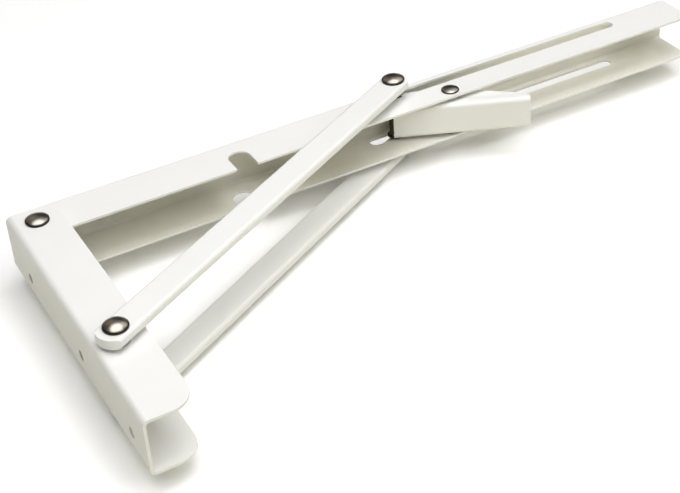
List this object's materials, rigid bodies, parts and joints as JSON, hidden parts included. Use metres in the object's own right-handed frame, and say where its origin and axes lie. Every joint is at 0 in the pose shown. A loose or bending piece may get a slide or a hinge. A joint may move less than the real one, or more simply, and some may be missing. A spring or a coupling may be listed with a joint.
{
  "type": "folding shelf bracket",
  "caption": "Folding shelf bracket with a wall channel, a slotted shelf arm that folds down onto it, side struts on a sliding pin and a release lever that locks it open.",
  "frame": {"origin": "on the surface it lies on, below the middle of its outline seen from above", "axes": "+X along the shelf arm away from the wall, +Y from the wall channel's foot towards the shelf's face, +Z along the rivets, up as it lies"},
  "size_m": [0.4, 0.1784, 0.0522],
  "materials": {
    "powder_coat": "off-white satin powder coat with a faint orange-peel texture",
    "rivet_nickel": "polished black nickel plate",
    "zinc_steel": "plain zinc plated steel"
  },
  "bodies": {
    "wall": {"wall_channel": "powder_coat", "corner_rivet": "rivet_nickel", "corner_washer_upper": "zinc_steel", "corner_washer_lower": "zinc_steel", "strut_rivet": "rivet_nickel", "strut_spacer": "zinc_steel", "strut_washer_upper": "zinc_steel", "strut_washer_lower": "zinc_steel"},
    "arm": {"arm_channel": "powder_coat", "corner_spacer": "zinc_steel", "lever_rivet": "rivet_nickel", "lever_washer_upper": "zinc_steel", "lever_washer_lower": "zinc_steel"},
    "struts": {"strut_upper": "powder_coat", "strut_lower": "powder_coat", "pin_head_upper": "rivet_nickel", "pin_head_lower": "rivet_nickel"},
    "pin": {"sliding_pin_upper": "rivet_nickel", "sliding_pin_lower": "rivet_nickel"},
    "lever": {"release_lever": "powder_coat"}
  },
  "joints": [
    {"name": "fold", "type": "hinge", "parent": "wall", "child": "arm", "pos_m": [-0.1873, 0.073, 0.02611], "axis": [0, 0, -1], "range_deg": [0, 90]},
    {"name": "strut_swing", "type": "hinge", "parent": "wall", "child": "struts", "pos_m": [-0.18836, -0.03474, 0.02611], "axis": [0, 0, -1], "range_deg": [0, 117.35]},
    {"name": "pin_run", "type": "slide", "parent": "arm", "child": "pin", "axis": [1, 0, 0], "range_m": [0, 0.1393]},
    {"name": "lever_release", "type": "hinge", "parent": "arm", "child": "lever", "pos_m": [0.0441, 0.0692, 0.02611], "axis": [0, 0, 1], "range_deg": [0, 24]}
  ],
  "couplings": [
    {"joint": "strut_swing", "follows": "fold", "ratio": 1.3033},
    {"joint": "pin_run", "follows": "fold", "m_per_rad": 0.0886}
  ]
}
